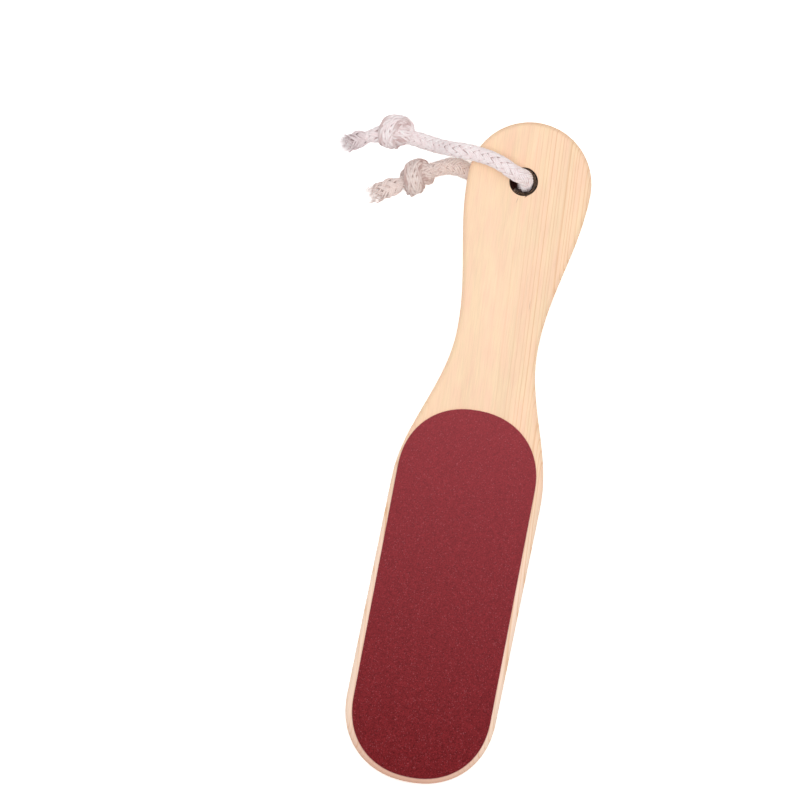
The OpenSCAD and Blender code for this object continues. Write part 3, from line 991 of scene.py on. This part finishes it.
def add(tree, kind, inputs=(), stops=(), **settings):
    """Adds a node, makes its settings and feeds it. A ramp's stops are places and colours."""
    node = tree.nodes.new("ShaderNode" + kind)
    for key, value in settings.items():
        setattr(node, key, value)
    for i, (place, code) in enumerate(stops):
        elements = node.color_ramp.elements
        stop = elements[i] if i < len(elements) else elements.new(place)
        stop.position, stop.color = place, linear(code)
    feed(tree, node, inputs)
    return node


print("paper white in linear light", [round(v, 3) for v in linear("#F5F5F5")[:3]])

# %% [markdown]
# ## Materials and finishes
# Every finish here starts from Blender's Principled shader. Each new piece is then given the body
# of the model that it moves with, and the part that it stands for is hidden. Both could be written
# out for every piece, but two short functions keep them alike.

# %% Materials and finishes
def new_material(name, roughness, **constants):
    """A material with a Principled shader, whose constants are set on its own sockets."""
    material = bpy.data.materials.new(name)
    material.use_nodes = True
    tree = material.node_tree
    shader = tree.nodes["Principled BSDF"]
    feed(tree, shader, {"Roughness": roughness,
                        **{key.replace("_", " "): value for key, value in constants.items()}})
    return material, tree, shader


def dress(piece, material, body, node):
    """Gives a piece its material and the body that it rides on, and hides the node that it stands
    for."""
    piece.data.materials.append(material)
    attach(piece, body)
    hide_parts(node)


# %% [markdown]
# ## Cotton
# Undyed cotton yarn is a warm off-white, matt, with fine twisted fibres. The material reads the
# straightened place in the yarn, so its noise runs along every yarn however the cord bends. A
# little sheen stands for the fuzz that catches the light at the edges.

# %% Cotton material
FUZZ_SHEEN = 0.25


def cotton_material(name, light_colour, shade_colour):
    """Matt cotton whose tone runs between the two colours."""
    material, tree, shader = new_material(name, 0.92, Sheen_Roughness=0.6)
    place = add(tree, "Attribute", attribute_name="yarn_place").outputs["Vector"]
    # the place turns round the yarn once in four millimetres, so a noise that is drawn out
    # along it looks like twisted fibres about 0.1 mm wide
    stretched = add(tree, "Mapping", {"Vector": place, "Scale": (1.6, 1.6, 0.5)})
    fibres = add(tree, "TexNoise", {"Vector": stretched, "Scale": 1.0, "Detail": 3.0,
                                    "Roughness": 0.65})
    # each ply was spun from its own lot of fibres, so its tone drifts every few millimetres
    drawn = add(tree, "Mapping", {"Vector": place, "Scale": (0, 0, 0.4)})
    drift = add(tree, "TexNoise", {"Vector": drawn, "Scale": 1.0, "Detail": 2.0})
    tone = add(tree, "Math", (add(tree, "Math", (fibres, 0.55), operation="MULTIPLY"),
                              add(tree, "Math", (drift, 0.5), operation="MULTIPLY")),
               operation="ADD")
    clean = add(tree, "ValToRGB", (tone,), ((0.39, shade_colour), (0.63, light_colour)))
    # painted shade: a darker colour deep between the yarns and inside knots
    shade = add(tree, "Attribute", attribute_name="yarn_shade").outputs["Vector"]
    shade = add(tree, "SeparateXYZ", (shade,)).outputs
    crevice_shade = add(tree, "Mix", {0: shade["X"], 6: linear("#BA9792"), 7: (1, 1, 1, 1)},
               data_type="RGBA")
    crevice_shaded = add(tree, "Mix", {0: 1.0, 6: clean, 7: crevice_shade}, data_type="RGBA",
                blend_type="MULTIPLY")
    # painted shade on the cord in and under the handle's hole: a dark brown colour
    hole_shaded = add(tree, "Mix", {0: shade["Y"], 6: crevice_shaded, 7: linear("#5E2A22")},
                   data_type="RGBA")
    # the sheen is dimmed in the hole too, as painted shade
    hole_dimmed_sheen = add(tree, "Math", (shade["Y"], -FUZZ_SHEEN, FUZZ_SHEEN), operation="MULTIPLY_ADD")
    bump = add(tree, "Bump", {"Height": fibres, "Strength": 0.5, "Distance": 0.12 * MM})
    feed(tree, shader, {"Sheen Weight": hole_dimmed_sheen, "Base Color": hole_shaded, "Normal": bump})
    return material


cotton = cotton_material("braided cotton", "#FFF9F9", "#F6E1E2")
# the back strand and its knot get darker copies of the same cotton, as painted shade
cotton_shaded_copy = cotton_material("braided cotton, under the handle", "#FFF2EC", "#E8D2CB")
cotton_knot_shaded_copy = cotton_material("braided cotton, knot under the handle", "#F8EAE4", "#DFC9C2")
fluff = cotton_material("frayed cotton", "#F5E7E8", "#DBC9CA")
fluff_under = cotton_material("frayed cotton, under the handle", "#FBE9E3", "#E8D5CE")
for piece, material, node, slot in (
        (braid_back, cotton_shaded_copy, "cord_back", "cotton_cord"),
        (braid_front, cotton, "cord_front", "cotton_cord"),
        (knot_back, cotton_knot_shaded_copy, "knot_back", "cotton_cord"),
        (knot_front, cotton, "knot_front", "cotton_cord"),
        (tuft_back, fluff_under, "frayed_end_back", "cotton_fibre"),
        (tuft_front, fluff, "frayed_end_front", "cotton_fibre")):
    dress(piece, material, "cord", node)
print("cotton pieces dressed")

# %% [markdown]
# ## What the cord is, in figures
# Both ends are free cords that leave the handle through its hole, above and below. The
# photograph shows the cord from end to end, so its length is that of the route, printed with
# its cuts above.

# %% [markdown]
# ## Pine: the rings
# The paddle is a flat-sawn pine board. Stripes painted along it would not match at its edges. A
# tree's growth rings are nested cylinders, so the rings are the distance from a pith line that
# runs along the board, under its left half. Where they cut the face steeply, on its right, the
# dark latewood draws fine straight lines about 1.5 mm apart, and on the left, where they lie
# flat, they spread out and fade. The same formula gives the edges and the end grain their
# matching lines. The tree's grain doesn't run quite along the board, so the lines cross it at a
# small angle.

# %% Pine rings
PITH = (-7.0, -14.0)   # across and up from the grain's own middle line, in millimetres
GRAIN_TURN = math.radians(4.4)
RING_WIDE = 1.2        # mean width of a year's growth, in millimetres
SANDED_ROUGH = 0.58
pine, tree, shader = new_material("sanded pine", SANDED_ROUGH)
board = add(tree, "Mapping", {
    "Vector": add(tree, "TexCoord").outputs["Object"], "Scale": (1 / MM,) * 3,
    "Rotation": (-lie_angle, 0, 0),
    "Location": (0, -lie_height * math.sin(lie_angle), -lie_height * math.cos(lie_angle))})
trunk = add(tree, "Mapping", {"Vector": board, "Rotation": (0, 0, -GRAIN_TURN)})
from_pith = add(tree, "VectorMath", (trunk, (-PITH[0], 0, -PITH[1])), operation="ADD")
square_on = add(tree, "VectorMath", (from_pith, (1, 0, 1)), operation="MULTIPLY")
ring_radius = add(tree, "VectorMath", (square_on,), operation="LENGTH")

# the tree grew unevenly: a slow noise bends the rings by up to a third of a millimetre
slow = add(tree, "Mapping", {"Vector": trunk, "Scale": (0.045, 0.008, 0.045)})
sway = add(tree, "TexNoise", {"Vector": slow, "Scale": 1.0, "Detail": 2.0})
sway = add(tree, "Math", (sway, 0.5), operation="SUBTRACT")
swayed = add(tree, "Math", (sway, 0.7, ring_radius), operation="MULTIPLY_ADD")
# good and poor years: the rings stand closer in some places than in others
year = add(tree, "Math", (ring_radius, 0.4), operation="MULTIPLY")
years = add(tree, "TexNoise", {"W": year, "Scale": 1.0, "Detail": 1.0},
            noise_dimensions="1D")
swayed = add(tree, "Math", (years, 1.3, swayed), operation="MULTIPLY_ADD")
rings = add(tree, "Math", (swayed, RING_WIDE), operation="DIVIDE")

# within a year the wood darkens slowly to the end of summer, and starts pale again at once
latewood = add(tree, "ValToRGB", (add(tree, "Math", (rings,), operation="FRACT"),),
               ((0.64, "#000000"), (0.89, "#FFFFFF"), (0.93, "#FFFFFF"), (1.0, "#000000")))
latewood.color_ramp.interpolation = "EASE"
ring_tone = add(tree, "TexWhiteNoise", {"W": add(tree, "Math", (rings,), operation="FLOOR")},
                noise_dimensions="1D")
ring_tone = add(tree, "Math", (ring_tone, 0.65, 0.35), operation="MULTIPLY_ADD")
sideways = add(tree, "SeparateXYZ", (from_pith,)).outputs["X"]
steepness = add(tree, "Math", (add(tree, "Math", (sideways,), operation="ABSOLUTE"),
                               ring_radius), operation="DIVIDE")
steepness = add(tree, "MapRange", {"Value": steepness, "From Min": 0.45, "From Max": 0.85,
                                   "To Min": 0.1, "To Max": 1.0},
                interpolation_type="SMOOTHSTEP")
stripe = add(tree, "Math", (latewood, ring_tone), operation="MULTIPLY")
stripe = add(tree, "Math", (stripe, steepness), operation="MULTIPLY")
print("rings about", RING_WIDE, "mm wide, turned by",
      round(math.degrees(GRAIN_TURN), 1), "degrees")

# %% [markdown]
# ## Pine: its colour
# Between the rings sanded pine is a pale peach. Its fibres give it a fine streak, resin makes it
# rosier in soft patches, and towards the blade it is paler. Each of these could be a picture,
# but a noise at the real size has no seams and shows the same on every side.

# %% Pine colour
# fibres a third of a millimetre wide and some eight long run along the board
fine = add(tree, "Mapping", {"Vector": trunk, "Scale": (3.0, 0.12, 3.0)})
grain = add(tree, "TexNoise", {"Vector": fine, "Scale": 1.0, "Detail": 3.0, "Roughness": 0.6})
cloud = add(tree, "TexNoise", {"Vector": slow, "Scale": 3.1, "Detail": 2.0})
down_board = add(tree, "SeparateXYZ", (board,)).outputs["Y"]
paler = add(tree, "MapRange", {"Value": down_board, "From Min": 10.0, "From Max": -50.0})
patches = add(tree, "Mapping", {"Vector": trunk, "Scale": (0.3, 0.06, 0.3)})
rosy = add(tree, "TexNoise", {"Vector": patches, "Scale": 1.0, "Detail": 2.0})
rosy = add(tree, "MapRange", {"Value": rosy, "From Min": 0.35, "From Max": 0.65})
handle_wood = add(tree, "Mix", {0: rosy, 6: linear("#FBDAB5"), 7: linear("#FDD4B4")},
                  data_type="RGBA")
earlywood = add(tree, "Mix", {0: paler, 6: handle_wood, 7: linear("#FFE1CA")},
                data_type="RGBA")
wood_colour = add(tree, "Mix", {0: stripe, 6: earlywood, 7: linear("#E9B88B")},
                  data_type="RGBA")
streaks = add(tree, "Math", (grain, add(tree, "Math", (cloud, 0.6), operation="MULTIPLY")),
              operation="ADD")
tone = add(tree, "MapRange", {"Value": streaks, "From Min": 0.5, "From Max": 1.1,
                              "To Min": 0.9, "To Max": 1.07})
shaded = add(tree, "VectorMath", {0: wood_colour, 3: tone}, operation="SCALE")
print("pine nodes so far", len(tree.nodes))

# %% [markdown]
# ## Pine: marks, end grain and the bore
# The drill lifted a splinter at the hole's rim and scorched the bore, which is painted near black:
# partly that scorch and partly painted shade inside the deep hole. Use left a few faint nicks.
# The two round ends are darker, because end grain lets light sink in, and the bare wood round
# the blade's end is painted darker and pinker, as painted shade.

# %% Marks, ends and bore
def mark(across, along, turn, half_wide, half_long):
    """A short scratch on the board: 1 on its middle line, falling to 0 at an ellipse with those
    half axes, turned from the board's length by an angle in degrees."""
    moved = add(tree, "VectorMath", (board, (-across, -along, 0)), operation="ADD")
    turned = add(tree, "VectorRotate", {"Vector": moved, "Angle": math.radians(-turn)},
                 rotation_type="Z_AXIS")
    scaled = add(tree, "VectorMath", (turned, (1 / half_wide, 1 / half_long, 0)),
                 operation="MULTIPLY")
    far = add(tree, "VectorMath", (scaled,), operation="LENGTH")
    return add(tree, "MapRange", {"Value": far, "From Min": 1.0, "From Max": 0.4})


splinter = mark(hole[0] + 2.3, hole[1] - 4.9, turn=-35, half_wide=0.35, half_long=1.5)
nicks = add(tree, "Math", (mark(-3.4, 99.1, turn=-12, half_wide=0.14, half_long=1.7),
                           mark(9.5, 60.0, turn=4, half_wide=0.12, half_long=2.6)),
            operation="MAXIMUM")
marks = add(tree, "Math", (add(tree, "Math", (splinter, 0.95), operation="MULTIPLY"),
                           add(tree, "Math", (nicks, 0.4), operation="MULTIPLY")),
            operation="MAXIMUM")
marked = add(tree, "Mix", {0: marks, 6: shaded, 7: linear("#4A2C1A")}, data_type="RGBA")

facing = add(tree, "SeparateXYZ", (add(tree, "TexCoord").outputs["Normal"],)).outputs["Y"]
facing = add(tree, "Math", (facing,), operation="ABSOLUTE")
end_grain = add(tree, "MapRange", {"Value": facing, "From Min": 0.3, "From Max": 0.95,
                                   "To Max": 0.7})
# painted shade: the wood is painted darker and pinker towards the blade's end
blade_end_shade = add(tree, "MapRange", {"Value": down_board, "From Min": -108.0, "From Max": -130.0,
                                "To Max": 0.65})
ended = add(tree, "Mix", {0: end_grain, 6: marked, 7: linear("#DDB38F")}, data_type="RGBA")
blade_end_shaded = add(tree, "Mix", {0: blade_end_shade, 6: ended, 7: linear("#DA9A82")}, data_type="RGBA")

bore_way = add(tree, "VectorMath", (board, (-hole[0], -hole[1], 0)), operation="ADD")
hole_flat = add(tree, "VectorMath", (bore_way, (1, 1, 0)), operation="MULTIPLY")
hole_far = add(tree, "VectorMath", (hole_flat,), operation="LENGTH")
# the bore is painted near black: partly scorch from the drill, partly painted shade inside the
# deep hole
scorch_and_shade = add(tree, "MapRange", {"Value": hole_far, "From Min": HOLE_D / 2 + 0.4,
                                "From Max": HOLE_D / 2 + 0.25, "To Min": 0.0, "To Max": 1.0})
with_bore = add(tree, "Mix", {0: scorch_and_shade, 6: blade_end_shaded, 7: linear("#1E0A05")}, data_type="RGBA")
# torn fibres in the bore shine less than the sanded face
bore_rough = add(tree, "Math", (scorch_and_shade, 1 - SANDED_ROUGH, SANDED_ROUGH),
                 operation="MULTIPLY_ADD")
relief = add(tree, "Math", (grain, add(tree, "Math", (stripe, 0.15), operation="MULTIPLY")),
             operation="ADD")
wood_bump = add(tree, "Bump", {"Height": relief, "Strength": 0.3, "Distance": 0.08 * MM})
feed(tree, shader, {"Base Color": with_bore, "Roughness": bore_rough, "Normal": wood_bump})
dress(paddle, pine, "paddle", "wooden_paddle")
print("pine nodes", len(tree.nodes))

# %% [markdown]
# ## Abrasive grit
# The fine face is brown-red aluminium oxide in red resin: matt, with a slightly mottled tone.
# The coarse face is black silicon carbide, whose crystals are glassy. Both are painted lighter
# towards the neck, as painted light. A plain noise would look like cloth, so both are drawn with
# cells of one grain each, of which a few are painted bright as painted glints.

# %% Grit materials
# painted light: the grit is painted lighter from down the blade to the neck
LIT_FROM, LIT_TO = -125 * MM, 12 * MM  # down the blade and at the neck


def grit_material(name, low, high, glint, lit_tone, lit_most, roughness, cell, share, bump_depth,
                  **constants):
    """Grains of that cell in mm, whose tone runs between low and high, with a share of painted
    glints.
    Towards the neck the grains are mixed with a lighter tone, by up to that share, as painted
    light."""
    material, tree, shader = new_material(name, roughness, **constants)
    place = add(tree, "TexCoord").outputs["Object"]
    grains = add(tree, "TexVoronoi", {"Vector": place, "Scale": 1 / (cell * MM)})
    speckle = add(tree, "SeparateColor", (grains.outputs["Color"],)).outputs
    mottle = add(tree, "TexNoise", {"Vector": place, "Scale": 1 / (6 * cell * MM),
                                    "Detail": 5.0, "Roughness": 0.75})
    tone = add(tree, "Math", (add(tree, "Math", (speckle["Red"], 0.5), operation="MULTIPLY"),
                              add(tree, "Math", (mottle, 0.5), operation="MULTIPLY")),
               operation="ADD")
    # a few grains get a lighter colour: painted glints
    painted_glint = add(tree, "Math", (speckle["Green"], 1 - share), operation="GREATER_THAN")
    grit = add(tree, "ValToRGB", (tone,), ((0.2, low), (0.8, high)))
    mixed = add(tree, "Mix", {0: painted_glint, 6: grit, 7: linear(glint)}, data_type="RGBA")
    up_blade = add(tree, "SeparateXYZ", (place,)).outputs["Y"]
    # painted light: a lighter tone towards the neck
    painted_light_share = add(tree, "MapRange", {"Value": up_blade, "From Min": LIT_FROM,
                                        "From Max": LIT_TO, "To Max": lit_most})
    painted_lit = add(tree, "Mix", {0: painted_light_share, 6: mixed, 7: linear(lit_tone)}, data_type="RGBA")
    bump = add(tree, "Bump", {"Height": speckle["Blue"], "Strength": 0.6,
                              "Distance": bump_depth * MM})
    feed(tree, shader, {"Base Color": painted_lit, "Normal": bump})
    return material


red_grit = grit_material(
    "aluminium oxide grit in red resin", low="#520408", high="#90262C", glint="#9A484F",
    lit_tone="#CC5F68", lit_most=0.28, roughness=0.8, cell=0.26, share=0.03, bump_depth=0.08,
    Specular_IOR_Level=0.16)
black_grit = grit_material(
    "silicon carbide grit", low="#0E0D12", high="#2A292F", glint="#5C5B66", lit_tone="#3A3A40",
    lit_most=0.1, roughness=0.38, cell=0.5, share=0.05, bump_depth=0.2)
dress(fine_face, red_grit, "paddle", "fine_grit")
dress(coarse_face, black_grit, "paddle", "coarse_grit")
print("grit pieces dressed")

# %% [markdown]
# ## Paper and glue
# The backing and the glue only show as thin lines at the sheets' edges. Their solids are right as
# they are, so they stay and only get a cloudy material. Cut paper is matt, with fibres that show
# as specks of 0.4 mm. Dried wood glue is amber, a little glossy and cloudy at twice that size.

# %% Paper and glue materials
def sheet_edge_material(name, low, high, roughness, grain_mm):
    """A plain material with a fine cloudy tone, for the thin layers under the grit."""
    material, tree, shader = new_material(name, roughness)
    cloud = add(tree, "TexNoise", {"Vector": add(tree, "TexCoord").outputs["Object"],
                                   "Scale": 1 / (grain_mm * MM), "Detail": 4.0,
                                   "Roughness": 0.7})
    bump = add(tree, "Bump", {"Height": cloud, "Strength": 0.4, "Distance": 0.05 * MM})
    tone = add(tree, "ValToRGB", (cloud,), ((0.35, low), (0.65, high)))
    feed(tree, shader, {"Base Color": tone, "Normal": bump})
    return material


# the low and the high tone, the roughness and the grain in mm
GLUE_TONES = ("#C9A878", "#E2C79C", 0.4, 0.8)
for node, name, tones in (
        ("fine_paper", "cut red paper edge", ("#A8696A", "#D5A7A0", 0.85, 0.4)),
        ("coarse_paper", "cut grey paper edge", ("#3A3638", "#6A6464", 0.85, 0.4)),
        ("fine_glue", "dried wood glue", GLUE_TONES),
        ("coarse_glue", "dried wood glue, coarse side", GLUE_TONES)):
    node_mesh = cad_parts[node].data
    node_mesh.materials.clear()
    node_mesh.materials.append(sheet_edge_material(name, *tones))
print("materials", len(bpy.data.materials))

# %% [markdown]
# ## The table
# A white studio table. The floor is a pale matt sheet, and rays that come straight from the
# camera, or off something glossy, see it enough whiter to be paper white, while the object's soft
# shadow stays. More light could do that too, but it would bleach the object.

# %% Floor
FLOOR_HALF = 3.0      # metres
FLOOR_TONE, FLOOR_SEEN = 0.8, 2.1    # as it lights the object, and as it is seen
DIM_FROM, DIM_TO = HOLE_D / 2 * MM, 14.0 * MM  # from under the hole's rim outwards


def seen_directly(tree):
    """1 for rays from the camera or off something glossy or clear, and 0 for all others."""
    path = add(tree, "LightPath").outputs
    shiny = add(tree, "Math", (path["Is Glossy Ray"], path["Is Transmission Ray"]),
                operation="MAXIMUM")
    return add(tree, "Math", (path["Is Camera Ray"], shiny), operation="MAXIMUM")


floor_mesh = bpy.data.meshes.new("floor")
corners = FLOOR_HALF * np.array([(-1, -1, 0), (1, -1, 0), (1, 1, 0), (-1, 1, 0)])
floor_mesh.from_pydata(corners.tolist(), [], [(0, 1, 2, 3)])
floor = bpy.data.objects.new("floor", floor_mesh)
scene.collection.objects.link(floor)
table_paint = bpy.data.materials.new("matt white table")
table_paint.use_nodes = True
tree = table_paint.node_tree
tree.nodes.clear()
# painted shadow on the floor: under the drilled hole, where only dim light comes back, rays from
# the camera see a grey-brown instead of the extra white, which grows from there outwards
from_hole = add(tree, "VectorMath", (add(tree, "TexCoord").outputs["Object"],
                                      (-hole[0] * MM, -hole[1] * MM, 0)), operation="ADD")
from_hole = add(tree, "VectorMath", (from_hole,), operation="LENGTH")
clear = add(tree, "MapRange", {"Value": from_hole, "From Min": DIM_FROM, "From Max": DIM_TO})
shown = add(tree, "Mix", {0: clear, 6: linear("#9C8F86"), 7: (*(FLOOR_SEEN,) * 3, 1)},
            data_type="RGBA")
white = add(tree, "Mix", {0: seen_directly(tree), 6: (*(FLOOR_TONE,) * 3, 1), 7: shown},
            data_type="RGBA")
add(tree, "OutputMaterial", {"Surface": add(tree, "BsdfDiffuse", {"Color": white})})
floor_mesh.materials.append(table_paint)
print("floor", FLOOR_TONE, "seen as", FLOOR_SEEN)

# %% [markdown]
# ## The world's light
# A wide pale world stands for the white walls of a studio and fills the shadows. A ring of lamps
# could do so, but would show in glossy surfaces. It lights softly, and is seen as plain white.

# %% World
WORLD_LEVEL = 0.56
world = bpy.data.worlds.new("studio")
scene.world = world
world.use_nodes = True
tree = world.node_tree
tree.nodes.clear()
level = add(tree, "Math", (seen_directly(tree), 1 - WORLD_LEVEL, WORLD_LEVEL),
            operation="MULTIPLY_ADD")
add(tree, "OutputWorld", {"Surface": add(tree, "Background", {"Color": (1, 1, 1, 1),
                                                              "Strength": level})})
print("world", WORLD_LEVEL)

# %% [markdown]
# ## Lamps
# The photograph's tones fall off gently from the handle to the blade, so a small key light stands
# near, above the handle's left side. A larger fill light farther off softens its shadows. One
# big even light would be simpler, but would lose that fall.

# %% Lamps
def soft_box(name, place, size, watts):
    """A square area lamp at a place, turned towards the middle of the scene: it leans by the
    angle whose tangent is its way out over its height, and turns to where it stands."""
    data = bpy.data.lights.new(name, "AREA")
    data.size, data.energy = size, watts
    lamp = bpy.data.objects.new(name, data)
    x, y, z = lamp.location = place
    lamp.rotation_euler = (math.atan2(math.hypot(x, y), z), 0, math.atan2(x, -y))
    scene.collection.objects.link(lamp)
    print(name, "light of", watts, "W at", place)


soft_box("key", (-0.07, 0.07, 0.6), size=0.34, watts=1.22)
soft_box("fill", (0.35, 0.2, 1.0), size=0.9, watts=1.75)
